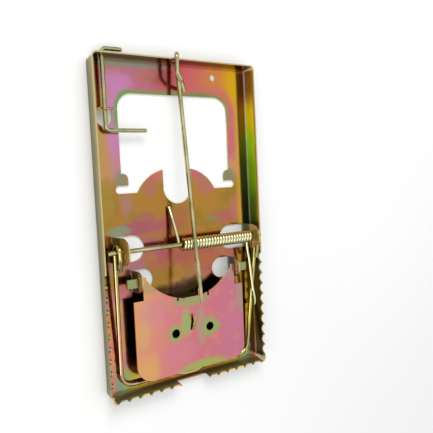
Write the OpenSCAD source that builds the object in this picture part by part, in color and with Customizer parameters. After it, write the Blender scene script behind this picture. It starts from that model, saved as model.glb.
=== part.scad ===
// Snap mouse trap, all metal: pressed sheet tray, wire kill bar, torsion spring,
// bait pedal, hold-down wire and safety wire. Millimetres, +Z up, +Y toward the
// rear of the tray, origin at the middle of the tray's underside.

/* [Tray] */
// Tray length at the floor, along Y
tray_length = 115; // [95:1:135]
// Tray width at the floor, along X
tray_width = 65; // [55:1:80]
// Height of the walls
wall_height = 5.9; // [4:0.1:10]
// Thickness of the sheet metal
sheet = 0.5; // [0.3:0.05:1]
// Outward lean of the side walls at the rim
side_flare = 0.45; // [0:0.05:2]
// Outward lean of the rear wall at the rim
rear_flare = 0.6; // [0:0.05:2]
// Outward lean of the front wall at the rim
front_flare = 1.3; // [0:0.05:2]
// Outer radius of the tray's corners
corner_radius = 2; // [1:0.1:5]

/* [Teeth] */
// Teeth on each side wall
side_teeth = 10; // [4:1:14]
// Distance from tooth to tooth
tooth_pitch = 4.15; // [3:0.05:6]
// Depth of the gap between two teeth
tooth_depth = 1.4; // [0.5:0.1:2.5]
// Half length of the gap in the middle of the front wall
front_gap_half = 6.3; // [4:0.1:12]
// Middle of that gap along X
front_gap_x = 0; // [-5:0.1:5]

/* [Window] */
// Half width of the window in the floor
window_half = 22.7; // [15:0.1:28]
// Rear edge of the window, along Y
window_rear = 46; // [35:0.5:50]
// Front edge of the window, along Y
window_front = 11.7; // [5:0.1:20]
// Radius of the window's rear corners
window_radius = 5.5; // [2:0.1:10]
// Radius of the nail hole
nail_radius = 1.15; // [0.8:0.05:2.5]

/* [Axle and spring] */
// Place of the axle along Y
axle_y = -7.5; // [-20:0.5:10]
// Height of the axle's centre
axle_z = 6.5; // [5:0.1:10]
// Diameter of the axle and of the bent wires
wire = 1.6; // [1:0.1:2.5]
// Diameter of the spring wire
spring_wire = 1.2; // [0.8:0.05:2]
// Outside diameter of the coil
coil_diameter = 4.7; // [4:0.1:7]
// Turns in the coil
coil_turns = 24; // [10:1:24]
// Left end of the coil, along X
coil_left = -4.2; // [-10:0.1:-4]

/* [Kill bar] */
// Distance from the axle to the crossbar
bar_reach = 47.45; // [35:0.1:50]
// Half distance between the kill bar's eyes
bar_half = 30; // [25:0.1:30]
// Half width of the kill bar at the crossbar
bar_front_half = 27.2; // [24.5:0.1:29]
// Depth of the dip in the middle of the crossbar
bar_dip = 1.2; // [0:0.1:1.3]

/* [Pedal] */
// Place of the pedal's pivot along Y
pedal_y = -18.9; // [-30:0.1:-14]
// Height of the pedal's pivot
pedal_z = 5.25; // [4:0.05:7]
// Slope of the pedal down to its front edge, degrees
pedal_slope = 0.5; // [0:0.1:4]
// Half width of the pedal
pedal_half = 23; // [15:0.1:25]
// Distance from the pivot to the front edge
pedal_reach = 35.1; // [20:0.1:36]
// Radius of the pedal's two round holes
pedal_hole_radius = 1.6; // [0.5:0.1:3]

/* [Hold-down and safety wires] */
// Length of the hold-down wire in front of the rear wall
hold_reach = 86.6; // [70:0.1:95]
// Diameter of the safety wire
safety_wire_size = 1.5; // [1:0.1:2]
// Place of the safety wire's shaft along X
safety_x = -28.2; // [-30:0.1:-26]
// Height of the safety wire's shaft
safety_z = 2.96; // [2:0.05:5]
// Place of the safety wire's arm along Y
safety_arm_y = 33; // [25:0.5:38]

/* [Hidden] */

$fn = 48;
gap = 0.02;
lap = 0.05;
cut = 1;
half_x = tray_width / 2;
half_y = tray_length / 2;
wire_r = wire / 2;
safety_r = safety_wire_size / 2;

// Ears bent up out of the floor: hinge line, length and half width
axle_ear_x = [26.7, 28.1];
axle_ear_length = 11.2;
axle_ear_half = 4.6;
axle_ear_lean = [4, 1.5];
pedal_ear_x = 20.5;
pedal_ear_length = 7.8;
pedal_ear_half = 3.75;
pedal_ear_lean = 3;
safety_ear_y = 40.2;
safety_ear_x = -27.6;
safety_ear_length = 5.8;
safety_ear_half = 2.85;
safety_ear_lean = 7;

// Room round an ear's flap where it was sheared out of the floor
shear_gap = 0.05;

// Middle of the two window fingers and half the gap between them
finger_x = -0.6;
finger_gap_r = 5.9;

// Root of the pedal's bait spike
spike_x = -0.2;
spike_y = -20.2;

// Pivot slots of the pedal ears
tab_width = 3.05;
slot_width = 3.5;
slot_height = 1.7;

// Kill bar: the eye's centreline radius and the slope that lays it on the floor
eye_r = wire_r + 0.1 + wire_r;
bar_rest_z = sheet + wire_r + gap;
bar_tip = bar_reach + bar_dip;
bar_slope = asin((axle_z - bar_rest_z) / norm([bar_tip, eye_r])) - atan(eye_r / bar_tip);
eye_x = [1.3 - bar_half, 1.3 + bar_half];
corner_x = [-0.4 - bar_front_half, -0.4 + bar_front_half];

// Eyes from the tail to the start of the leg: distance inward from the leg, y and z
eye_points = [
    [[1.1, -6.4, -0.4], [0.55, -2.2, eye_r - 0.15], [0.4, eye_r, eye_r], [0, eye_r, -eye_r]],
    [[0.4, -8.5, 0], [1.6, -2.2, eye_r - 0.15], [1.8, eye_r, eye_r], [0, eye_r, -eye_r]]];

// Hold-down wire: hinge line at the strip of rear wall above its slot
strip_z = 5.08;
strip_y = half_y + rear_flare * strip_z / wall_height - sheet / 2;
hold_eye_r = 1.8;
hold_eye_shift = 1.9;
hold_low_z = strip_z - hold_eye_r;
hold_high_z = strip_z + hold_eye_r;
hold_bend = norm([hold_eye_shift, 2 * hold_eye_r]) / 2;
coil_top = axle_z + coil_diameter / 2;
hold_rise = (coil_top + wire_r + gap - hold_low_z) / (strip_y - axle_y);

// ---------- wires ----------

function unit(v) = v / norm(v);

// Angle between two directions
function turn(u, v) = atan2(norm(cross(u, v)), u * v);

// Centreline through the points p, its corners rounded to the radii r
function corner_arc(a, b, c, r) =
    let (u = unit(b - a), v = unit(c - b), angle = turn(u, v),
         w = cross(unit(cross(u, v)), u), start = b - u * r * tan(angle / 2),
         steps = ceil(angle / 13) + 1)
    [for (k = [0 : steps])
        let (t = angle * k / steps)
        start + w * r + r * (sin(t) * u - cos(t) * w)];

function centreline(p, r) = [
    p[0], for (i = [1 : len(p) - 2]) each corner_arc(p[i - 1], p[i], p[i + 1], r[i]),
    p[len(p) - 1]];

// Round wire swept along a centreline, with a radius for each of its points
function directions(p) =
    [for (i = [0 : len(p) - 1]) unit(p[min(i + 1, len(p) - 1)] - p[max(i - 1, 0)])];

function normals(t, first) =
    [for (i = 0, u = first; i < len(t); i = i + 1,
          u = i < len(t) ? unit(u - (u * t[i]) * t[i]) : u) u];

module swept_wire(p, radii, sides) {
    t = directions(p);
    across = abs(t[0][0]) < 0.9 ? [1, 0, 0] : [0, 1, 0];
    u = normals(t, unit(cross(t[0], across)));
    rings = len(p);
    points = [for (i = [0 : rings - 1], k = [0 : sides - 1])
        let (v = cross(t[i], u[i]), a = 360 * k / sides)
        p[i] + radii[i] * (cos(a) * u[i] + sin(a) * v)];
    ends = [[for (k = [0 : sides - 1]) k],
            [for (k = [0 : sides - 1]) rings * sides - 1 - k]];
    skin = [for (i = [0 : rings - 2], k = [0 : sides - 1])
        let (a = i * sides + k, b = i * sides + (k + 1) % sides)
        each [[a, a + sides, b], [b, a + sides, b + sides]]];
    polyhedron(points, concat(ends, skin));
}

// Flattened end of a wire that points along +X
module flat_end(radius, length) {
    intersection() {
        rotate([0, 90, 0])
            cylinder(r = radius * 1.18, h = length);
        translate([length / 2, 0, 0])
            cube([length + cut, radius * 3, radius * 1.2], center = true);
    }
}

// ---------- tray ----------

// Rectangle with rounded corners: the tray's outline, moved in by inset, at height z
function outline(inset, z) =
    let (r = corner_radius - inset, steps = 6,
         x = half_x - inset + side_flare * z / wall_height - r,
         rear = half_y - inset + rear_flare * z / wall_height - r,
         front = r + inset - half_y - front_flare * z / wall_height,
         centres = [[x, rear], [-x, rear], [-x, front], [x, front]])
    [for (c = [0 : 3], k = [0 : steps])
        let (a = 90 * (c + k / steps))
        [centres[c][0] + r * cos(a), centres[c][1] + r * sin(a), z]];

module shell_solid(inset, bottom, top) {
    low = outline(inset, bottom);
    n = len(low);
    polyhedron(concat(low, outline(inset, top)),
               [[for (k = [0 : n - 1]) k], [for (k = [0 : n - 1]) 2 * n - 1 - k],
                for (k = [0 : n - 1])
                    let (m = (k + 1) % n)
                    each [[k, k + n, m], [m, k + n, m + n]]]);
}

// D shape from the hinge line at the origin toward +X
module d_shape(length, half) {
    translate([0, -half])
        square([length - half, 2 * half]);
    translate([length - half, 0])
        circle(r = half);
}

// Ear bent up at the hinge line: it stands on the line and leans over its hole
module ear(length, half, lean) {
    root = 0.1;
    inner_bend = 0.45;
    translate([-gap, 0, root])
        rotate([0, lean - 90, 0])
            linear_extrude(sheet)
                d_shape(length - root, half);
    translate([-sheet, half - 0.05, sheet])
        rotate([90, 0, 0])
            linear_extrude(2 * half - 0.1)
                polygon([[-inner_bend, 0], [-0.55 * inner_bend, 0.14 * inner_bend],
                         [-0.14 * inner_bend, 0.55 * inner_bend], [0, inner_bend],
                         [sheet / 2, inner_bend], [sheet / 2, -sheet / 2],
                         [-inner_bend, -sheet / 2]]);
}

// Round gap between two teeth, its bottom at the origin, open at the top
module tooth_gap() {
    round_r = 1.85;
    translate([0, round_r])
        circle(r = round_r, $fn = 24);
    translate([-round_r, round_r])
        square([2 * round_r, tooth_depth]);
}

module side_gaps() {
    first = -half_y + 1.6;
    for (i = [0 : side_teeth - 1])
        translate([0, first + tooth_pitch * (i + 0.5), wall_height - tooth_depth])
            rotate([90, 0, 90])
                linear_extrude(4, center = true)
                    tooth_gap();
}

module front_gaps() {
    count = floor((half_x - front_gap_half) / tooth_pitch) - 1;
    for (s = [-1, 1], i = [0 : count])
        translate([s * (half_x - 1.6 - tooth_pitch * (i + 0.5)), 0,
                   wall_height - tooth_depth])
            rotate([90, 0, 0])
                linear_extrude(4, center = true)
                    tooth_gap();
}

module front_notch() {
    bottom = 2.3;
    translate([front_gap_x - front_gap_half, -3, bottom])
        cube([2 * front_gap_half, 6, wall_height]);
}

// Window with the two tabs, the notches under them and the hooked fingers
module window_outline() {
    tab_x = 20.1;
    tab_rear = 18.5;
    tab_front = 14.45;
    tab_round = 2;
    notch_x = 25;
    difference() {
        union() {
            translate([-window_half, tab_rear])
                square([2 * window_half, window_rear - window_radius - tab_rear]);
            translate([-window_half + window_radius, window_rear - window_radius - cut])
                square([2 * (window_half - window_radius), window_radius + cut]);
            for (s = [-1, 1])
                translate([s * (window_half - window_radius), window_rear - window_radius])
                    circle(r = window_radius);
            translate([-tab_x, tab_front - cut])
                square([2 * tab_x, tab_rear - tab_front + 2 * cut]);
            for (s = [0, 1])
                mirror([s, 0])
                    translate([tab_x, tab_rear - tab_round])
                        difference() {
                            square(tab_round);
                            translate([tab_round, 0])
                                circle(r = tab_round);
                        }
            translate([-notch_x + 0.8, window_front])
                square([2 * (notch_x - 0.8), tab_front - window_front]);
            for (s = [-1, 1])
                translate([s * (notch_x - 1.375), (tab_front + window_front) / 2])
                    circle(r = (tab_front - window_front) / 2);
            translate([finger_x, 6.95 + finger_gap_r])
                circle(r = finger_gap_r);
            translate([finger_x - finger_gap_r, 6.95 + finger_gap_r])
                square([2 * finger_gap_r, 6]);
        }
        for (s = [-1, 1])
            translate([finger_x, 0])
                scale([s, 1])
                    finger();
    }
}

// Finger: a round back from the shelf to a tip over the middle gap
module finger() {
    intersection() {
        translate([3.14, 5])
            circle(r = 14.67, $fn = 96);
        translate([finger_gap_r, window_front - cut])
            square([16.3 - finger_gap_r, 12]);
    }
}

module tray_openings() {
    translate([0, 0, -cut])
        linear_extrude(sheet + 2 * cut) {
            window_outline();
            translate([17.1, 53.2])
                circle(r = nail_radius);
            for (s = [-1, 1]) {
                translate([s * axle_ear_x[(s + 1) / 2], axle_y])
                    scale([-s, 1])
                        d_shape(axle_ear_length, axle_ear_half + shear_gap);
                translate([s * pedal_ear_x, pedal_y])
                    scale([-s, 1])
                        d_shape(pedal_ear_length, pedal_ear_half + shear_gap);
            }
            translate([safety_ear_x, safety_ear_y])
                rotate(-90)
                    d_shape(safety_ear_length, safety_ear_half + shear_gap);
        }
}

module ears() {
    for (s = [0, 1])
        difference() {
            translate([(2 * s - 1) * axle_ear_x[s], axle_y, 0])
                mirror([s, 0, 0])
                    ear(axle_ear_length, axle_ear_half, axle_ear_lean[s]);
            translate([0, axle_y, axle_z])
                rotate([0, 90, 0])
                    cylinder(r = wire_r, h = 2 * half_x, center = true);
        }
    for (s = [0, 1])
        difference() {
            translate([(2 * s - 1) * pedal_ear_x, pedal_y, 0])
                mirror([s, 0, 0])
                    ear(pedal_ear_length, pedal_ear_half, pedal_ear_lean);
            translate([0, pedal_y, pedal_z])
                cube([2 * half_x, slot_width, slot_height], center = true);
        }
    difference() {
        translate([safety_ear_x, safety_ear_y, 0])
            rotate(-90)
                ear(safety_ear_length, safety_ear_half, safety_ear_lean);
        translate([safety_x, 0, safety_z])
            rotate([90, 0, 0])
                cylinder(r = safety_r + 0.06, h = 2 * half_y + 20, center = true);
    }
}

module base_tray() {
    color([0.80, 0.62, 0.34]) {
        difference() {
            shell_solid(0, 0, wall_height);
            shell_solid(sheet, sheet, wall_height + cut);
            tray_openings();
            for (s = [-1, 1])
                translate([s * (half_x + side_flare), 0, 0])
                    side_gaps();
            translate([0, -half_y - front_flare, 0]) {
                front_gaps();
                front_notch();
            }
            hold_slot();
            translate([safety_x, half_y, safety_z])
                rotate([90, 0, 0])
                    cylinder(r = safety_r + 0.06, h = 6, center = true);
        }
        ears();
    }
}

// Slot in the rear wall for the hold-down wire's eye
module hold_slot() {
    slot_r = wire_r + 0.12;
    translate([0, half_y, hold_low_z])
        rotate([90, 0, 0])
            linear_extrude(6, center = true) {
                circle(r = slot_r);
                translate([-1.2, -0.24])
                    circle(r = slot_r);
                translate([-1.2, -0.24 - slot_r])
                    square([1.2, 2 * slot_r]);
                translate([-1.2, 0])
                    square([1.2, slot_r]);
            }
}

// ---------- axle and spring ----------

module axle() {
    left = -31.25;
    right = 32;
    crimp = 0.7;
    color([0.78, 0.74, 0.52]) {
        translate([left, axle_y, axle_z])
            rotate([0, 90, 0])
                cylinder(r = wire_r, h = right - left);
        translate([left + lap - crimp, axle_y, axle_z])
            rotate([90, 0, 0])
                flat_end(wire_r, crimp);
    }
}

// Centreline of the spring: floor leg, coil, hooked leg
coil_r = (coil_diameter - spring_wire) / 2;
coil_pitch = spring_wire + 0.06;
coil_x0 = coil_left + spring_wire / 2;
leg_tip = [-5.2, 6.1, sheet + spring_wire / 2 + gap];
coil_steps = 18;
leg_angle = 14.7;
coil_count = coil_steps * coil_turns;

function coil_point(i) =
    let (a = -90 - leg_angle - (360 * coil_turns - leg_angle) * i / coil_count)
    [coil_x0 + coil_pitch * coil_turns * i / coil_count,
     axle_y + coil_r * cos(a), axle_z + coil_r * sin(a)];

coil_x1 = coil_x0 + coil_pitch * coil_turns;
low_z = axle_z - coil_r;
spring_path = [
    leg_tip, leg_tip + [0.85, -6.5, 1.72], for (i = [0 : coil_count]) coil_point(i),
    [coil_x1 + 0.03, axle_y - 3, low_z + 0.01], [coil_x1 + 0.2, axle_y - 6, low_z + 0.02],
    [coil_x1 + 0.75, axle_y - 9.4, low_z + 0.03], [28.6, -28.2, 4.72],
    [29.1, -30.6, 4.66], [29.75, -33, 4.3], [30.1, -34.6, 3.8], [30.2, -36, 3.1]];

module torsion_spring() {
    color([0.86, 0.74, 0.40])
        swept_wire(spring_path, [for (q = spring_path) spring_wire / 2], 8);
}

// ---------- kill bar ----------

// Eye at the left (0) or right (1) end: a tail above the leg, a half turn behind the
// axle and the start of the leg under it
function bar_eye(end) =
    let (inward = 1 - 2 * end, a = atan((eye_x[end] - corner_x[end]) / bar_reach))
    [for (q = eye_points[end])
        [eye_x[end] + inward * q[0] + q[1] * sin(a), q[1] * cos(a), q[2]]];

module kill_bar() {
    front = -bar_reach;
    dip_end = 7.2;
    dip_flat = 2.2;
    end_r = 4.8;
    dip_r = 2;
    eye_radii = [0, 2, eye_r - 0.1, eye_r - 0.01];
    left = bar_eye(0);
    right = bar_eye(1);
    corners = concat(left,
        [[corner_x[0], front, -eye_r], [-dip_end, front, -eye_r],
         [-dip_flat, front - bar_dip, -eye_r], [dip_flat, front - bar_dip, -eye_r],
         [dip_end, front, -eye_r], [corner_x[1], front, -eye_r]],
        [for (i = [len(right) - 1 : -1 : 0]) right[i]]);
    radii = concat(eye_radii, [end_r, dip_r, dip_r, dip_r, dip_r, end_r],
                   [for (i = [len(eye_radii) - 1 : -1 : 0]) eye_radii[i]]);
    path = centreline(corners, radii);
    color([0.80, 0.70, 0.50])
        translate([0, axle_y, axle_z])
            rotate([bar_slope, 0, 0])
                swept_wire(path, [for (q = path) wire_r], 16);
}

// ---------- pedal ----------

module pedal_outline() {
    neck_x = 19.3;
    shoulder = -6.4;
    arc_r = 22.5;
    arc_y = 14.15;
    front = -pedal_reach;
    corner = [6, 5];
    difference() {
        union() {
            translate([-pedal_half, front + corner[0]])
                square([pedal_half, shoulder - front - corner[0]]);
            translate([0, front + corner[1]])
                square([pedal_half, shoulder - front - corner[1]]);
            translate([-pedal_half + corner[0], front])
                square([2 * pedal_half - corner[0] - corner[1], corner[0]]);
            translate([-pedal_half + corner[0], front + corner[0]])
                circle(r = corner[0]);
            translate([pedal_half - corner[1], front + corner[1]])
                circle(r = corner[1]);
            translate([-neck_x, shoulder - cut])
                square([2 * neck_x, cut - shoulder + tab_width / 2]);
        }
        translate([0, arc_y])
            circle(r = arc_r, $fn = 96);
        for (s = [-1, 1])
            translate([s * 7.3, -20.4])
                circle(r = pedal_hole_radius);
        for (s = [-1, 1])
            translate([0.6 + s * 6.5, -7.4])
                square([0.7, 2.6], center = true);
        translate([spike_x, spike_y])
            polygon([[-1.1, 0], [1, 0], [0.1, 6.3]]);
    }
}

// Bait spike punched up out of the pedal, and the tongue bent down to the floor
module pedal_spike() {
    translate([spike_x, spike_y, 0])
        rotate([25, 0, 0])
            linear_extrude(sheet)
                polygon([[-0.6, -0.3], [0.8, -0.3], [0.9, 6], [0.5, 6]]);
}

module pedal_tongue() {
    half = 6.1;
    drop = 4.9;
    translate([0.6 - half, -8.55, sheet - drop - sheet / 2])
        cube([2 * half, sheet, drop]);
}

module trigger_pedal() {
    tab_x = 25.1;
    color([0.86, 0.58, 0.40])
        translate([0, pedal_y, pedal_z])
            rotate([pedal_slope, 0, 0]) {
                translate([0, 0, -sheet / 2]) {
                    linear_extrude(sheet) {
                        pedal_outline();
                        for (s = [-1, 1])
                            translate([s * (tab_x + 18) / 2, 0])
                                square([tab_x - 18, tab_width], center = true);
                    }
                    pedal_spike();
                }
                pedal_tongue();
            }
}

// ---------- hold-down wire ----------

// The wire's main leg at the distance y along the tray
function hold_leg(y) = [0, y, hold_low_z + hold_rise * (strip_y - y)];

module hold_down_wire() {
    taper = 4.2;
    tip_y = strip_y - hold_reach;
    outer = strip_y + hold_bend;
    curl = centreline(
        [hold_leg(tip_y + taper), [0, strip_y - 0.2, hold_low_z], [0, outer, hold_low_z],
         [-hold_eye_shift, outer, hold_high_z],
         [-hold_eye_shift, strip_y - 4.9, hold_high_z - 0.3],
         [-0.2, strip_y - 7.1, hold_high_z - 0.8],
         [3.6, strip_y - 9.8, sheet + wire_r + 0.1]],
        [0, 1, hold_bend - 0.01, hold_bend - 0.15, 1.6, 1.6, 0]);
    path = concat([hold_leg(tip_y), hold_leg(tip_y + taper * 0.2)], curl);
    color([0.72, 0.72, 0.52])
        swept_wire(path, concat([0.3, 0.5], [for (q = curl) wire_r]), 16);
}

// ---------- safety wire ----------

module safety_wire() {
    handle_y = half_y + 2.2;
    tip_x = -13.2;
    handle_x = -20.9;
    bend_r = 1.5;
    end_round = 0.4;
    curl = centreline(
        [[tip_x - end_round, safety_arm_y, safety_z], [safety_x, safety_arm_y, safety_z],
         [safety_x, handle_y, safety_z], [handle_x - end_round, handle_y, safety_z]],
        [0, bend_r, bend_r, 0]);
    path = concat([[tip_x, safety_arm_y, safety_z]], curl, [[handle_x, handle_y, safety_z]]);
    tip_r = 0.6 * safety_r;
    color([0.62, 0.64, 0.50])
        swept_wire(path, concat([tip_r], [for (q = curl) safety_r], [tip_r]), 16);
}

base_tray();
axle();
torsion_spring();
kill_bar();
trigger_pedal();
hold_down_wire();
safety_wire();
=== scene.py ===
import math

import bpy
import bmesh
from mathutils import Matrix, Vector


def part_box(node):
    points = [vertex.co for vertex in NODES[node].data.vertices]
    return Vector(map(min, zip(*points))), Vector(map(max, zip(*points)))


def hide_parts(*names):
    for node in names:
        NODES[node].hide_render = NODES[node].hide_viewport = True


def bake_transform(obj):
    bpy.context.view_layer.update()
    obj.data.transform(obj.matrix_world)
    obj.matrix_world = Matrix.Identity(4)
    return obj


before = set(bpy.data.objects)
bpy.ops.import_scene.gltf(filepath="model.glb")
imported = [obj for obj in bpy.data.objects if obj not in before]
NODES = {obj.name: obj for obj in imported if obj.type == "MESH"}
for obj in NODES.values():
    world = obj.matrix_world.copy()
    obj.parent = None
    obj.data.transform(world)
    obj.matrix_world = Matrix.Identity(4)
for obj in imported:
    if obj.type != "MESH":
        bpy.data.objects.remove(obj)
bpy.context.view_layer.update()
MM = 0.001


# ---------------------------------------------------------------- materials

class Graph:
    """Builds one node material. Its x, y and z are places in mm on the piece at rest,
    and nx, ny and nz are the surface normal there."""

    def __init__(self, name):
        self.mat = bpy.data.materials.new(name)
        self.mat.use_nodes = True
        self.tree = self.mat.node_tree
        self.tree.nodes.clear()
        self.out = self.node("ShaderNodeOutputMaterial")
        self.bsdf = self.node("ShaderNodeBsdfPrincipled")
        self.link(self.bsdf.outputs[0], self.out.inputs["Surface"])
        coord = self.node("ShaderNodeTexCoord")
        scale = self.node("ShaderNodeVectorMath", operation="SCALE")
        scale.inputs["Scale"].default_value = 1.0 / MM
        self.link(coord.outputs["Object"], scale.inputs[0])
        self.pos = scale.outputs[0]
        split = self.node("ShaderNodeSeparateXYZ")
        self.link(self.pos, split.inputs[0])
        self.x, self.y, self.z = split.outputs
        nsplit = self.node("ShaderNodeSeparateXYZ")
        self.link(coord.outputs["Normal"], nsplit.inputs[0])
        self.nx, self.ny, self.nz = nsplit.outputs

    def node(self, kind, **settings):
        n = self.tree.nodes.new(kind)
        for key, value in settings.items():
            setattr(n, key, value)
        return n

    def link(self, a, b):
        self.tree.links.new(a, b)

    def put(self, socket, value):
        """Set a socket to a number or a colour, or link another socket to it."""
        if isinstance(value, (int, float)):
            socket.default_value = value
        elif isinstance(value, (tuple, list)):
            socket.default_value = tuple(value) + (1.0,)
        else:
            self.link(value, socket)

    def math(self, op, a, b=0.0, clamp=False):
        n = self.node("ShaderNodeMath", operation=op, use_clamp=clamp)
        self.put(n.inputs[0], a)
        self.put(n.inputs[1], b)
        return n.outputs[0]

    def noise(self, scale, detail=2.0, rough=0.5, distortion=0.0, vector=None, w=0.0):
        n = self.node("ShaderNodeTexNoise", noise_dimensions="4D")
        n.inputs["W"].default_value = w
        n.inputs["Scale"].default_value = scale
        n.inputs["Detail"].default_value = detail
        n.inputs["Roughness"].default_value = rough
        n.inputs["Distortion"].default_value = distortion
        self.link(vector if vector is not None else self.pos, n.inputs["Vector"])
        return n.outputs["Fac"]

    def ramp(self, fac, stops):
        """Colour ramp with an eased change between stops."""
        n = self.node("ShaderNodeValToRGB")
        n.color_ramp.interpolation = "EASE"
        els = n.color_ramp.elements
        while len(els) < len(stops):
            els.new(0.5)
        for el, (at, colour) in zip(els, stops):
            el.position = at
            el.color = tuple(colour) + (1.0,)
        self.put(n.inputs[0], fac)
        return n.outputs[0]

    def step(self, value, low, high):
        """0 below low, 1 above high, smooth between; low may be above high."""
        n = self.node("ShaderNodeMapRange", interpolation_type="SMOOTHSTEP")
        self.put(n.inputs["Value"], value)
        n.inputs["From Min"].default_value = low
        n.inputs["From Max"].default_value = high
        return n.outputs["Result"]

    def mix(self, fac, a, b):
        n = self.node("ShaderNodeMix", data_type="RGBA")
        self.put(n.inputs[0], fac)
        self.put(n.inputs[6], a)
        self.put(n.inputs[7], b)
        return n.outputs[2]

    def blob(self, cx, cy, rx, ry, warp, ragged):
        """1 inside an ellipse in X and Y, fading to 0 at its ragged edge."""
        x = self.math("ADD", self.x, warp)
        dx = self.math("DIVIDE", self.math("SUBTRACT", x, cx), rx)
        dy = self.math("DIVIDE", self.math("SUBTRACT", self.y, cy), ry)
        d = self.math("ADD", self.math("MULTIPLY", dx, dx), self.math("MULTIPLY", dy, dy))
        return self.step(self.math("ADD", d, ragged), 1.15, 0.0)

    def box_distance(self, cx, cy, hx, hy, r):
        """Signed distance in mm to a rounded rectangle in X and Y."""
        dx = self.math("SUBTRACT", self.math("ABSOLUTE", self.math("SUBTRACT", self.x, cx)), hx - r)
        dy = self.math("SUBTRACT", self.math("ABSOLUTE", self.math("SUBTRACT", self.y, cy)), hy - r)
        px = self.math("MAXIMUM", dx, 0.0)
        py = self.math("MAXIMUM", dy, 0.0)
        out = self.math("SQRT", self.math("ADD", self.math("MULTIPLY", px, px),
                                          self.math("MULTIPLY", py, py)))
        inside = self.math("MINIMUM", self.math("MAXIMUM", dx, dy), 0.0)
        return self.math("SUBTRACT", self.math("ADD", out, inside), r)

    def finish(self, colour, rough, metallic=1.0, bump=None, bump_height=0.0):
        """Feed the surface shader and return the material."""
        self.put(self.bsdf.inputs["Base Color"], colour)
        self.put(self.bsdf.inputs["Roughness"], rough)
        self.put(self.bsdf.inputs["Metallic"], metallic)
        if bump is not None:
            b = self.node("ShaderNodeBump")
            b.inputs["Distance"].default_value = bump_height
            b.inputs["Strength"].default_value = 0.5
            self.link(bump, b.inputs["Height"])
            self.link(b.outputs[0], self.bsdf.inputs["Normal"])
        return self.mat


def tint(red, green, blue):
    """Linear colour from display values out of 255."""
    return tuple(((c / 255 + 0.055) / 1.055) ** 2.4 for c in (red, green, blue))


PINK = tint(200, 120, 128)
ROSE = tint(196, 100, 100)
PEACH = tint(208, 148, 104)
AMBER = tint(176, 126, 62)
ORANGE = tint(208, 132, 70)
GOLD = tint(216, 168, 30)
TEAL = tint(130, 156, 128)


def speckle(g, base, amount):
    """Fine dirt and dull spots of plating."""
    fine = g.noise(1.1, 6.0, 0.6, w=3.1)
    dull = g.step(fine, 0.62, 0.72)
    return g.math("ADD", base, g.math("MULTIPLY", dull, amount))


def scratches(g, angle, scale):
    """Long fine streaks, as rolled sheet shows."""
    rot = g.node("ShaderNodeMapping")
    rot.inputs["Rotation"].default_value = (0.0, 0.0, angle)
    rot.inputs["Scale"].default_value = (scale, scale * 0.03, scale)
    g.link(g.pos, rot.inputs["Vector"])
    return g.noise(1.0, 3.0, 0.6, vector=rot.outputs[0], w=8.0)


# Places in the materials are in mm in the frame.
TRAY_HALF_X = 33.0
TRAY_HALF_Y = 57.0
WALL_HEIGHT = 5.9
WINDOW_Y = 30.0
WINDOW_HALF_X = 22.7
WINDOW_HALF_Y = 16.0
WINDOW_RADIUS = 5.5
# How far the tray's colour bands wander, in mm.
WARP = 22.0
# Heights of the bumps on sheet and on wire, in metres.
SHEET_BUMP = 0.00003
WIRE_BUMP = 0.000004

# Patches of colour: centre X and Y and half sizes in mm, colour, strength. Most are plating colour;
# the dark one at Y -25 is painted shade.
TRAY_PATCHES = [
    (-14.0, 8.0, 7.5, 9.0, tint(176, 130, 58), 0.8),
    (13.0, 9.0, 8.5, 9.0, tint(180, 132, 58), 0.8),
    (-9.5, 18.0, 5.0, 3.0, ROSE, 0.6),
    (8.0, 18.0, 5.0, 3.0, ROSE, 0.6),
    (0.0, 2.0, 6.0, 5.0, tint(176, 100, 84), 0.6),
    (-12.0, 13.0, 3.5, 5.0, tint(188, 112, 104), 0.6),
    (12.0, 14.0, 4.0, 5.0, tint(188, 112, 116), 0.6),
    (-16.0, 3.0, 5.0, 2.5, tint(160, 96, 110), 0.5),
    (-22.0, 9.0, 3.0, 8.0, tint(184, 128, 134), 0.6),
    (-28.5, 8.0, 3.0, 12.0, tint(170, 140, 70), 0.7),
    (-17.0, -0.5, 11.0, 3.0, tint(172, 90, 112), 0.8),
    (20.0, 0.5, 9.0, 3.0, tint(184, 96, 110), 0.7),
    (-24.5, -1.0, 4.5, 2.4, TEAL, 0.8),
    (14.5, 0.2, 3.6, 1.6, tint(128, 144, 92), 0.85),
    (26.0, 4.0, 4.0, 8.0, tint(198, 116, 110), 0.6),
    (-14.0, -8.0, 10.0, 5.0, tint(176, 96, 116), 0.7),
    (3.0, -12.0, 14.0, 6.5, tint(176, 92, 88), 0.85),
    (8.0, -15.0, 8.0, 4.0, tint(180, 112, 70), 0.7),
    (-8.0, -20.0, 9.0, 5.0, tint(158, 122, 44), 0.8),
    # painted shade: this dark patch at the pedal's rear edge stands for the pedal's shadow and dark
    # reflection on the floor
    (6.0, -25.0, 17.0, 5.5, tint(60, 46, 18), 0.95),
    (-22.0, -13.0, 8.0, 5.0, tint(176, 112, 140), 0.6),
    (-22.0, 49.0, 8.0, 5.0, tint(204, 140, 190), 0.7),
    (-12.0, 52.0, 6.0, 4.0, PEACH, 0.2),
]
TAB_PATCHES = [(x, 16.2, 4.2, 3.8, tint(122, 146, 104), 0.85) for x in (-22.0, 22.0)]
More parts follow.
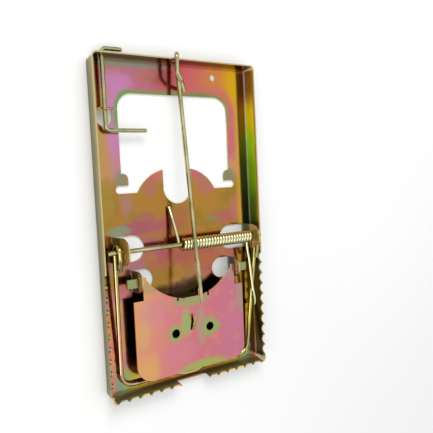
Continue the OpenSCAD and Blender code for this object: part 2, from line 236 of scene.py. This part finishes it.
PEDAL_PATCHES = [
    (-7.3, -39.3, 3.9, 3.9, tint(140, 180, 96), 0.95),
    (7.3, -39.3, 4.6, 4.6, tint(140, 180, 96), 0.95),
    (-2.6, -36.0, 2.8, 6.5, tint(142, 186, 108), 0.8),
    (3.4, -38.0, 2.6, 9.0, tint(176, 160, 130), 0.7),
    (0.0, -27.8, 9.5, 3.2, tint(146, 172, 106), 0.8),
    (4.0, -53.8, 13.0, 3.4, tint(160, 184, 84), 0.9),
    (22.6, -30.0, 3.4, 8.0, tint(166, 160, 122), 0.7),
    (18.5, -20.0, 3.6, 5.0, tint(178, 152, 136), 0.6),
    (-19.0, -50.0, 5.0, 7.0, tint(226, 180, 96), 0.6),
    (-16.0, -30.0, 8.0, 6.0, tint(206, 132, 166), 0.35),
    (-6.0, -47.0, 9.0, 5.0, tint(214, 134, 150), 0.6),
    (-20.0, -38.0, 3.5, 6.0, tint(214, 176, 118), 0.6),
    (17.0, -40.0, 6.0, 8.0, tint(206, 128, 156), 0.35),
    (-18.0, -21.0, 4.0, 3.0, tint(166, 158, 104), 0.6),
]


def paint(g, base, patches, drift, ragged):
    """Lay soft ragged patches of colour over a base colour."""
    for cx, cy, rx, ry, colour, amount in patches:
        patch = g.blob(cx, cy, rx, ry, drift, ragged)
        base = g.mix(g.math("MULTIPLY", patch, amount), base, colour)
    return base


def band_colour(g, across):
    """Rear band of the floor, from pink at the left to gold at the right."""
    return g.ramp(across, [(0.05, tint(180, 118, 104)), (0.20, tint(184, 116, 134)),
                           (0.40, tint(168, 84, 84)), (0.62, tint(206, 104, 104)),
                           (0.80, ORANGE), (0.93, GOLD)])


def left_strip(g, base):
    """Floor to the left of the window: gold at the wall, lilac at the window."""
    rows = g.math("MULTIPLY", g.step(g.y, 8.0, 14.0), g.step(g.y, 52.0, 44.0))
    strip = g.ramp(g.math("ADD", g.math("DIVIDE", g.x, 18.0), 1.85),
                   [(0.10, tint(188, 152, 84)), (0.34, tint(196, 146, 104)),
                    (0.52, tint(196, 134, 150)), (0.68, tint(204, 132, 182))])
    return g.mix(g.math("MULTIPLY", g.step(g.x, -21.0, -24.0), rows), base, strip)


def middle_floor(g, base, swirl):
    """Floor between the window and the pedal: rose, amber and olive streaks."""
    rows = g.math("MULTIPLY", g.step(g.y, 19.0, 13.0), g.step(g.y, -26.0, -18.0))
    middle = g.ramp(g.math("ADD", g.math("MULTIPLY", swirl, 1.1), g.math("DIVIDE", g.y, 160.0)),
                    [(0.25, tint(164, 84, 84)), (0.40, tint(178, 104, 92)),
                     (0.52, tint(178, 124, 66)), (0.66, tint(172, 128, 56)),
                     (0.85, tint(182, 112, 84))])
    streak = g.step(g.noise(0.11, 2.0, 0.5, distortion=0.6, w=6.0), 0.42, 0.62)
    middle = g.mix(g.math("MULTIPLY", streak, 0.75), middle, tint(154, 126, 46))
    return g.mix(rows, base, middle)


def window_edge(g, base, fine, across):
    """Rose band and thin green edge round the rear half of the window."""
    away = g.box_distance(0.0, WINDOW_Y, WINDOW_HALF_X, WINDOW_HALF_Y, WINDOW_RADIUS)
    away = g.math("ADD", away, g.math("MULTIPLY", g.math("SUBTRACT", fine, 0.5), 2.4))
    rose = g.math("MULTIPLY", g.step(away, 5.2, 2.6), g.step(g.y, 20.0, 30.0))
    base = g.mix(g.math("MULTIPLY", rose, 0.75), base,
                 g.ramp(across, [(0.15, tint(204, 132, 182)), (0.45, tint(196, 100, 100)),
                                 (0.80, tint(206, 112, 110))]))
    halo = g.math("MULTIPLY", g.step(away, 2.0, 0.6), g.step(g.y, 30.0, 38.0))
    return g.mix(g.math("MULTIPLY", halo, 0.9), base,
                 g.ramp(across, [(0.10, tint(104, 164, 84)), (0.40, tint(128, 150, 84)),
                                 (0.70, tint(120, 140, 76)), (0.90, tint(150, 156, 80))]))


def right_floor(g, base, along):
    """Floor at the right: gold beside the pedal, dark at the wall, and a pale painted highlight
    along the bend.
    """
    gutter = g.math("MULTIPLY", g.step(g.x, 23.0, 24.4), g.step(g.y, -8.0, -18.0))
    base = g.mix(g.math("MULTIPLY", gutter, 0.75), base, tint(166, 128, 34))
    rows = g.step(g.y, -30.0, -10.0)
    shade = g.ramp(along, [(0.45, tint(60, 66, 44)), (0.62, tint(84, 78, 48)),
                           (0.80, tint(120, 96, 42)), (0.92, tint(140, 96, 40))])
    base = g.mix(g.math("MULTIPLY", g.step(g.x, 27.6, 28.6), rows), base, shade)
    # painted highlight: a pale line where the floor bends up into the wall
    bend_highlight = g.math("MULTIPLY", g.step(g.x, 31.5, 31.85), rows)
    return g.mix(bend_highlight, base, tint(196, 190, 160))


def floor_colour(g, wide, fine, across, along):
    """Plating colours of the tray's floor, with painted shade under and behind the pedal and a
    painted highlight along the right bend.
    """
    warp = g.math("MULTIPLY", g.math("SUBTRACT", wide, 0.5), WARP)
    swirl = g.math("ADD", g.math("MULTIPLY", wide, 0.65), g.math("MULTIPLY", fine, 0.35))
    drift = g.math("MULTIPLY", warp, 0.3)
    ragged = g.math("MULTIPLY", g.math("SUBTRACT", fine, 0.5), 3.0)
    base = g.ramp(swirl, [(0.30, AMBER), (0.42, PEACH), (0.52, PINK), (0.62, PEACH), (0.75, GOLD)])
    base = g.mix(g.step(g.y, 38.0, 47.0), base, band_colour(g, across))
    base = left_strip(g, base)
    base = middle_floor(g, base, swirl)
    base = paint(g, base, TRAY_PATCHES, drift, ragged)
    # gold strip along the right
    right = g.step(g.math("ADD", g.x, g.math("MULTIPLY", warp, 0.15)), 24.5, 29.0)
    gold = g.ramp(swirl, [(0.3, tint(210, 148, 66)), (0.5, GOLD), (0.7, tint(202, 172, 60))])
    base = g.mix(g.math("MULTIPLY", right, g.step(g.y, -52.0, -40.0)), base, gold)
    base = window_edge(g, base, fine, across)
    base = paint(g, base, TAB_PATCHES, drift, ragged)
    rear_line = g.math("MULTIPLY", g.step(g.y, 54.2, 55.2), g.step(g.x, 4.0, -12.0))
    base = g.mix(g.math("MULTIPLY", rear_line, 0.7), base, tint(118, 146, 112))
    # painted shade: the floor under the pedal is darkened for the pedal's shadow and dark reflection
    under = g.step(g.box_distance(0.0, -38.0, 24.4, 16.0, 4.0), 1.0, -2.0)
    base = g.mix(g.math("MULTIPLY", under, 0.85), base, tint(52, 42, 20))
    base = right_floor(g, base, along)
    # front strip and corners
    corner = g.ramp(g.math("ABSOLUTE", g.math("DIVIDE", g.x, 32.0)),
                    [(0.3, AMBER), (0.66, tint(196, 170, 60)), (0.78, tint(150, 170, 90)),
                     (0.86, TEAL), (0.96, tint(190, 130, 110))])
    return g.mix(g.step(g.y, -44.0, -54.0), base, corner)


def side_wall(g, up, along, wave):
    """Inner faces of the long walls: green and yellow, with a pale line low down that is a painted
    highlight along the bend.
    """
    middle_tint = g.ramp(along, [(0.10, tint(50, 46, 20)), (0.42, tint(72, 66, 26)),
                                 (0.52, tint(96, 116, 26)), (0.64, tint(136, 190, 26)),
                                 (0.75, tint(170, 236, 26)), (0.85, tint(255, 232, 30)),
                                 (0.94, tint(156, 112, 44))])
    bend_highlight_tint = g.ramp(g.math("ADD", along, g.math("MULTIPLY", wave, 2.0)),
                       [(0.2, tint(150, 140, 90)), (0.55, tint(120, 150, 120)),
                        (0.7, tint(170, 196, 150)), (0.85, tint(226, 222, 170)),
                        (0.93, tint(206, 170, 206))])
    # painted highlight: the pale line low down on the wall, along the bend
    side = g.mix(g.step(up, 0.13, 0.20), bend_highlight_tint, middle_tint)
    return g.mix(g.step(up, 0.80, 0.94), side, tint(176, 138, 60))


def end_wall(g, up):
    """Inner faces of the short walls: amber at the rear, olive at the front."""
    rear_wall = g.ramp(up, [(0.03, tint(222, 196, 150)), (0.12, tint(196, 132, 70)),
                            (0.32, tint(150, 98, 52)), (0.55, tint(92, 64, 38)),
                            (0.9, tint(124, 94, 58))])
    front_wall = g.ramp(up, [(0.03, tint(200, 176, 124)), (0.15, tint(150, 118, 62)),
                             (0.40, tint(104, 94, 58)), (0.9, tint(118, 108, 70))])
    return g.mix(g.step(g.y, -40.0, -50.0), rear_wall, front_wall)


def outer_face(g):
    """1 on the outsides of the four walls."""
    facing = g.math("MAXIMUM", g.step(g.math("MULTIPLY", g.nx, g.math("SIGN", g.x)), 0.3, 0.6),
                    g.step(g.math("MULTIPLY", g.ny, g.math("SIGN", g.y)), 0.3, 0.6))
    beyond = g.math("MAXIMUM", g.step(g.math("ABSOLUTE", g.x), 32.0, 32.4),
                    g.step(g.math("ABSOLUTE", g.y), 57.0, 57.4))
    return g.math("MULTIPLY", facing, beyond)


def tray_material():
    """Yellow chromate on sheet: patchy floor, tinted walls, bright cut edges, with painted shade
    round the pedal and painted highlights along the mitres and bends.
    """
    g = Graph("tray_chromate_and_painted_light")
    wide = g.noise(0.045, 2.0, 0.5, w=1.0)
    fine = g.noise(0.16, 3.0, 0.55, w=2.0)
    warp = g.math("MULTIPLY", g.math("SUBTRACT", wide, 0.5), WARP)
    across = g.math("DIVIDE", g.math("ADD", g.math("ADD", g.x, warp), TRAY_HALF_X),
                    2 * TRAY_HALF_X)
    bent_y = g.math("ADD", g.y, g.math("MULTIPLY", warp, 0.6))
    along = g.math("DIVIDE", g.math("ADD", bent_y, TRAY_HALF_Y), 2 * TRAY_HALF_Y)
    base = floor_colour(g, wide, fine, across, along)
    # walls
    wave = g.math("MULTIPLY", g.math("SUBTRACT", fine, 0.5), 0.22)
    up = g.math("ADD", g.math("DIVIDE", g.z, WALL_HEIGHT), wave)
    is_wall = g.math("SUBTRACT", 1.0, g.step(g.math("ABSOLUTE", g.nz), 0.3, 0.6))
    is_end = g.step(g.math("ABSOLUTE", g.ny), 0.5, 0.8)
    wall = g.mix(is_end, side_wall(g, up, along, wave), end_wall(g, up))
    outer = outer_face(g)
    skin = g.ramp(g.math("ADD", g.math("MULTIPLY", g.z, 0.12), g.math("MULTIPLY", fine, 0.4)),
                  [(0.2, tint(104, 94, 40)), (0.6, tint(130, 118, 56)), (0.9, tint(156, 144, 78))])
    wall = g.mix(outer, wall, skin)
    # painted highlight: a pale mitre line where two walls meet
    wall_x = g.math("SUBTRACT", g.math("ABSOLUTE", g.x), 31.0)
    wall_y = g.math("SUBTRACT", g.math("ABSOLUTE", g.y), 56.0)
    mitre_highlight = g.math("MULTIPLY", g.step(wall_x, 0.2, 0.8), g.step(wall_y, 0.2, 0.8))
    wall = g.mix(g.math("MULTIPLY", mitre_highlight, 0.8), wall, tint(250, 240, 206))
    base = g.mix(is_wall, base, wall)
    # the side walls, the front wall and the mitres scatter more light than the floor
    side_inside = g.math("MULTIPLY", g.math("SUBTRACT", 1.0, is_end), g.math("SUBTRACT", 1.0, outer))
    dull = g.math("MAXIMUM", side_inside, mitre_highlight)
    dull = g.math("MAXIMUM", dull, g.step(g.y, -54.0, -56.0))
    dull = g.math("MULTIPLY", is_wall, dull)
    metal = g.math("SUBTRACT", 1.0, g.math("MULTIPLY", dull, 0.65))
    # the cut edge along the top of the walls is brighter
    rim = g.math("MULTIPLY", g.step(g.z, 5.75, 5.88), g.step(g.nz, 0.5, 0.9))
    base = g.mix(rim, base, tint(206, 190, 138))
    rough = speckle(g, g.math("ADD", 0.10, g.math("MULTIPLY", fine, 0.12)), 0.10)
    bump = g.math("ADD", g.noise(0.35, 2.0, 0.5, w=5.0),
                  g.math("MULTIPLY", scratches(g, 0.05, 2.2), 0.05))
    return g.finish(base, rough, metallic=metal, bump=bump, bump_height=SHEET_BUMP)


def pedal_material():
    """Yellow chromate on the pedal: mostly pink, green round the holes."""
    g = Graph("pedal_chromate")
    wide = g.noise(0.05, 2.0, 0.5, w=11.0)
    fine = g.noise(0.22, 3.0, 0.55, w=12.0)
    warp = g.math("MULTIPLY", g.math("SUBTRACT", wide, 0.5), 16.0)
    across = g.math("DIVIDE", g.math("ADD", g.math("ADD", g.x, warp), 24.0), 48.0)
    base = g.ramp(across, [(0.0, tint(226, 164, 112)), (0.14, tint(222, 148, 124)),
                           (0.32, tint(216, 130, 134)), (0.62, tint(210, 122, 132)),
                           (0.90, tint(202, 122, 144))])
    patch = g.step(fine, 0.52, 0.66)
    base = g.mix(g.math("MULTIPLY", patch, 0.4), base, tint(216, 152, 112))
    wobble = g.math("MULTIPLY", g.math("SUBTRACT", fine, 0.5), 3.0)
    ragged = g.math("MULTIPLY", g.math("SUBTRACT", fine, 0.5), 1.2)
    base = paint(g, base, PEDAL_PATCHES, wobble, ragged)
    # pivot tabs, bait spike and cut edges
    tab = g.math("MULTIPLY", g.step(g.math("ABSOLUTE", g.x), 20.3, 21.0), g.step(g.y, -21.2, -20.6))
    base = g.mix(tab, base, tint(152, 158, 112))
    spike = g.math("MULTIPLY", g.step(g.math("ABSOLUTE", g.nz), 0.97, 0.90),
                   g.blob(-0.2, -36.2, 4.5, 4.5, wobble, ragged))
    base = g.mix(spike, base, tint(232, 196, 104))
    cut_edge = g.math("MULTIPLY", g.step(g.math("ABSOLUTE", g.nz), 0.8, 0.5), g.step(g.z, 4.4, 4.7))
    base = g.mix(cut_edge, base, tint(238, 222, 178))
    rough = speckle(g, g.math("ADD", 0.13, g.math("MULTIPLY", fine, 0.12)), 0.1)
    bump = g.math("ADD", g.noise(0.3, 2.0, 0.5, w=15.0),
                  g.math("MULTIPLY", scratches(g, 1.1, 2.0), 0.05))
    return g.finish(base, rough, bump=bump, bump_height=SHEET_BUMP)


def drawn_wire(g, colour, rough, dirt, w):
    """Finish a wire's material with small dull spots and a fine drawn texture."""
    grime = g.step(g.noise(1.4, 5.0, 0.65, w=w + 1.0), 0.60, 0.70)
    colour = g.mix(g.math("MULTIPLY", grime, 0.35), colour, dirt)
    fine = g.noise(2.4, 3.0, 0.6, w=w + 2.0)
    return g.finish(colour, g.math("ADD", rough, g.math("MULTIPLY", grime, 0.14)),
                    bump=fine, bump_height=WIRE_BUMP)


def wire_material(name, stops, rough, w):
    """Drawn wire under clear plating, with a slow change of colour."""
    g = Graph(name)
    colour = g.ramp(g.noise(0.10, 3.0, 0.6, w=w), stops)
    return drawn_wire(g, colour, rough, tint(120, 104, 70), w)


def bar_material():
    """The kill bar's plating: olive near the eyes and on the right, pinkish at the left corner."""
    g = Graph("bar_plating")
    shade = g.math("MULTIPLY", g.math("SUBTRACT", g.noise(0.12, 3.0, 0.6, w=31.0), 0.5), 0.5)
    across = g.math("ADD", g.math("DIVIDE", g.math("ADD", g.x, 30.0), 60.0), shade)
    colour = g.ramp(across, [(0.02, tint(206, 164, 132)), (0.30, tint(214, 176, 142)),
                             (0.62, tint(206, 188, 130)), (0.95, tint(190, 180, 104))])
    near_eyes = g.step(g.math("ADD", g.y, g.math("MULTIPLY", shade, 20.0)), -38.0, -26.0)
    colour = g.mix(g.math("MULTIPLY", near_eyes, 0.85), colour, tint(184, 176, 112))
    return drawn_wire(g, colour, 0.10, tint(120, 100, 66), 31.0)


def spring_painted_light_material():
    """Bright wire with painted light: a painted highlight on the sides that face up, painted shade
    in amber on the sides that face down.
    """
    g = Graph("spring_plating_and_painted_light")
    # painted light: the colour follows the normal, a painted highlight facing up and painted shade
    # in amber facing down
    facing = g.math("ADD", g.math("MULTIPLY", g.nz, 0.5), 0.5)
    wobble = g.math("MULTIPLY", g.math("SUBTRACT", g.noise(0.5, 2.0, 0.5, w=41.0), 0.5), 0.3)
    colour = g.ramp(g.math("ADD", facing, wobble),
                    [(0.15, tint(140, 92, 36)), (0.42, tint(180, 134, 52)),
                     (0.66, tint(196, 182, 98)), (0.88, tint(232, 230, 186))])
    grime = g.step(g.noise(1.8, 4.0, 0.6, w=42.0), 0.62, 0.72)
    return g.finish(colour, g.math("ADD", 0.09, g.math("MULTIPLY", grime, 0.1)))


TRAY = tray_material()
PEDAL = pedal_material()
WIRE = wire_material("wire_plating", [(0.35, tint(172, 164, 116)), (0.65, tint(208, 202, 156))],
                     0.10, 21.0)
BAR = bar_material()
SPRING = spring_painted_light_material()
SAFETY = wire_material("safety_plating", [(0.35, tint(150, 152, 116)), (0.65, tint(188, 186, 146))],
                       0.12, 51.0)


# Edges sharper than these angles stay sharp or are bevelled; the bevel is in mm.
SHARP_ANGLE = 35.0
BEVEL_ANGLE = 40.0
SHEET_BEVEL = 0.1


def dress(name, material, bevel_mm=0.0):
    """Give a CAD node its material, smooth shading and, on sheet, softened edges."""
    o = NODES[name]
    o.data.materials.clear()
    o.data.materials.append(material)
    for p in o.data.polygons:
        p.use_smooth = True
    o.data.set_sharp_from_angle(angle=math.radians(SHARP_ANGLE))
    if bevel_mm > 0.0:
        m = o.modifiers.new("soft_edges", "BEVEL")
        m.width = bevel_mm * MM
        m.segments = 2
        m.limit_method = "ANGLE"
        m.angle_limit = math.radians(BEVEL_ANGLE)
        m.harden_normals = True
    return o


dress("base_tray", TRAY, SHEET_BEVEL)
dress("trigger_pedal", PEDAL, SHEET_BEVEL)
dress("axle", WIRE)
dress("kill_bar", BAR)
dress("hold_down_wire", WIRE)
dress("safety_wire", SAFETY)

# ---------------------------------------------------------------- spring

# Wire thickness, and the coil's radius, turns and advance per turn, in mm.
SPRING_WIRE = 1.2
COIL_R = 1.75
COIL_TURNS = 24
COIL_PITCH = 1.26
# Steps in each turn, and sides of the wire.
STEPS = 30
SIDES = 10
# Angle at which the floor leg leaves the coil, in degrees.
LEG_ANGLE = 14.7
# Floor leg: Y of its tip, its run to the coil, and from the tip to the coil's left end.
FLOOR_TIP_Y = 6.1
FLOOR_LEG = (0.85, -6.5, 1.72)
TIP_TO_COIL = 1.6
# End of the hooked leg, where it reaches over the kill bar.
HOOK = [(28.6, -28.2, 4.72), (29.1, -30.6, 4.66), (29.75, -33.0, 4.3),
        (30.1, -34.6, 3.8), (30.2, -36.0, 3.1)]

axle_low, axle_high = [Vector(c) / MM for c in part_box("axle")]
spring_low = Vector(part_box("torsion_spring")[0]) / MM
axle_y = (axle_low.y + axle_high.y) / 2
axle_z = (axle_low.z + axle_high.z) / 2


def spring_path():
    """Centreline of the spring: floor leg, coil, hooked leg over the kill bar."""
    tip = Vector((spring_low.x + SPRING_WIRE / 2 - 0.01, FLOOR_TIP_Y,
                  spring_low.z + SPRING_WIRE / 2))
    coil_x = tip.x + TIP_TO_COIL
    path = [tip, tip + Vector(FLOOR_LEG)]
    count = STEPS * COIL_TURNS
    for i in range(count + 1):
        a = math.radians(-90.0 - LEG_ANGLE - (360.0 * COIL_TURNS - LEG_ANGLE) * i / count)
        path.append(Vector((coil_x + COIL_PITCH * COIL_TURNS * i / count,
                            axle_y + COIL_R * math.cos(a), axle_z + COIL_R * math.sin(a))))
    end_x = coil_x + COIL_PITCH * COIL_TURNS
    low = axle_z - COIL_R
    path += [Vector((end_x + 0.03, axle_y - 3.0, low + 0.01)),
             Vector((end_x + 0.2, axle_y - 6.0, low + 0.02)),
             Vector((end_x + 0.75, axle_y - 9.4, low + 0.03))]
    path += [Vector(c) for c in HOOK]
    return path, coil_x, end_x


# The wire narrows to this share of its radius over this last length, in mm.
END_SCALE = 0.75
END_LENGTH = 0.2


def swept_wire(name, path, radius, sides):
    """Round wire along a path, with chamfered, closed ends."""
    mesh = bpy.data.meshes.new(name)
    bm = bmesh.new()
    tangents = [(path[min(i + 1, len(path) - 1)] - path[max(i - 1, 0)]).normalized()
                for i in range(len(path))]
    side = tangents[0].cross(Vector((1.0, 0.0, 0.0))).normalized()
    start, end = path[0], path[-1]
    rings = [(start, END_SCALE, tangents[0]), (start + tangents[0] * END_LENGTH, 1.0, tangents[0])]
    rings += [(p, 1.0, t) for p, t in zip(path[1:-1], tangents[1:-1])]
    rings += [(end - tangents[-1] * END_LENGTH, 1.0, tangents[-1]), (end, END_SCALE, tangents[-1])]
    loops = []
    for centre, scale, tangent in rings:
        side = (side - tangent * side.dot(tangent)).normalized()
        other = tangent.cross(side)
        loop = []
        for k in range(sides):
            a = 2 * math.pi * k / sides
            spoke = side * math.cos(a) + other * math.sin(a)
            loop.append(bm.verts.new((centre + spoke * radius * scale) * MM))
        loops.append(loop)
    for one, two in zip(loops, loops[1:]):
        for k in range(sides):
            m = (k + 1) % sides
            bm.faces.new((one[k], one[m], two[m], two[k]))
    bm.faces.new(list(reversed(loops[0])))
    bm.faces.new(loops[-1])
    for f in bm.faces:
        f.smooth = len(f.verts) == 4
    bm.to_mesh(mesh)
    bm.free()
    o = bpy.data.objects.new(name, mesh)
    bpy.context.scene.collection.objects.link(o)
    return o


path, coil_left, coil_right = spring_path()
spring = swept_wire("spring_coil", path, SPRING_WIRE / 2, SIDES)
spring.data.materials.append(SPRING)
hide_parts("torsion_spring")
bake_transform(spring)

# ---------------------------------------------------------------- stage

FLOOR_HALF = 3.0
# The floor lies this far under the trap, in metres, so that the faces never coincide.
FLOOR_DROP = 0.0001
# Brightness of the surroundings by height, from straight down to straight up.
SKY = [(0.0, 0.16), (0.25, 0.34), (0.50, 0.80), (0.80, 1.0)]
SKY_STRENGTH = 0.95


def paper_floor():
    """Plain pale floor with a very faint change of shade."""
    mesh = bpy.data.meshes.new("floor")
    bm = bmesh.new()
    bmesh.ops.create_grid(bm, x_segments=1, y_segments=1, size=FLOOR_HALF)
    bm.to_mesh(mesh)
    bm.free()
    o = bpy.data.objects.new("stage_floor", mesh)
    bpy.context.scene.collection.objects.link(o)
    o.location = (0.0, 0.0, -FLOOR_DROP)
    g = Graph("floor_paper")
    shade = g.noise(0.004, 2.0, 0.5, w=61.0)
    paper = g.ramp(shade, [(0.3, (0.92, 0.92, 0.92)), (0.7, (0.96, 0.96, 0.96))])
    mesh.materials.append(g.finish(paper, 0.7, metallic=0.0))


def studio_world():
    """Soft grey surroundings, darker below the horizon."""
    world = bpy.data.worlds.new("studio")
    bpy.context.scene.world = world
    world.use_nodes = True
    tree = world.node_tree
    tree.nodes.clear()
    out = tree.nodes.new("ShaderNodeOutputWorld")
    background = tree.nodes.new("ShaderNodeBackground")
    coord = tree.nodes.new("ShaderNodeTexCoord")
    split = tree.nodes.new("ShaderNodeSeparateXYZ")
    ramp = tree.nodes.new("ShaderNodeValToRGB")
    stops = ramp.color_ramp.elements
    while len(stops) < len(SKY):
        stops.new(0.5)
    for stop, (height, level) in zip(stops, SKY):
        stop.position = height
        stop.color = (level, level, level, 1.0)
    background.inputs["Strength"].default_value = SKY_STRENGTH
    tree.links.new(coord.outputs["Generated"], split.inputs[0])
    tree.links.new(split.outputs[2], ramp.inputs[0])
    tree.links.new(ramp.outputs[0], background.inputs["Color"])
    tree.links.new(background.outputs[0], out.inputs[0])


def area_light(name, place, size, power):
    """Rectangular light that points at the middle of the trap."""
    data = bpy.data.lights.new(name, "AREA")
    data.energy = power
    data.shape = "RECTANGLE"
    data.size, data.size_y = size
    o = bpy.data.objects.new(name, data)
    bpy.context.scene.collection.objects.link(o)
    o.location = place
    o.rotation_euler = (-Vector(place)).to_track_quat("-Z", "Y").to_euler()


paper_floor()
studio_world()
area_light("key", (-0.10, 0.45, 0.40), (0.35, 0.25), 1.4)
area_light("fill", (-0.45, -0.20, 0.30), (0.3, 0.3), 0.5)

# ---------------------------------------------------------------- camera

SENSOR_WIDTH = 36.0
LENS = 44.892
CAMERA_PLACE = Vector((-0.101096, 0.015741, 0.171036))
# Rows: the directions in the frame of the camera's right, up and back.
VIEW = Matrix(((0.821595, -0.048137, 0.568035),
               (0.080533, 0.996236, -0.032058),
               (-0.564354, 0.072084, 0.822380)))

lens = bpy.data.cameras.new("camera")
lens.sensor_width = SENSOR_WIDTH
lens.lens = LENS
camera = bpy.data.objects.new("camera", lens)
bpy.context.scene.collection.objects.link(camera)
camera.matrix_world = Matrix.Translation(CAMERA_PLACE) @ VIEW.transposed().to_4x4()
bpy.context.scene.camera = camera
bpy.context.scene.view_settings.view_transform = "Standard"
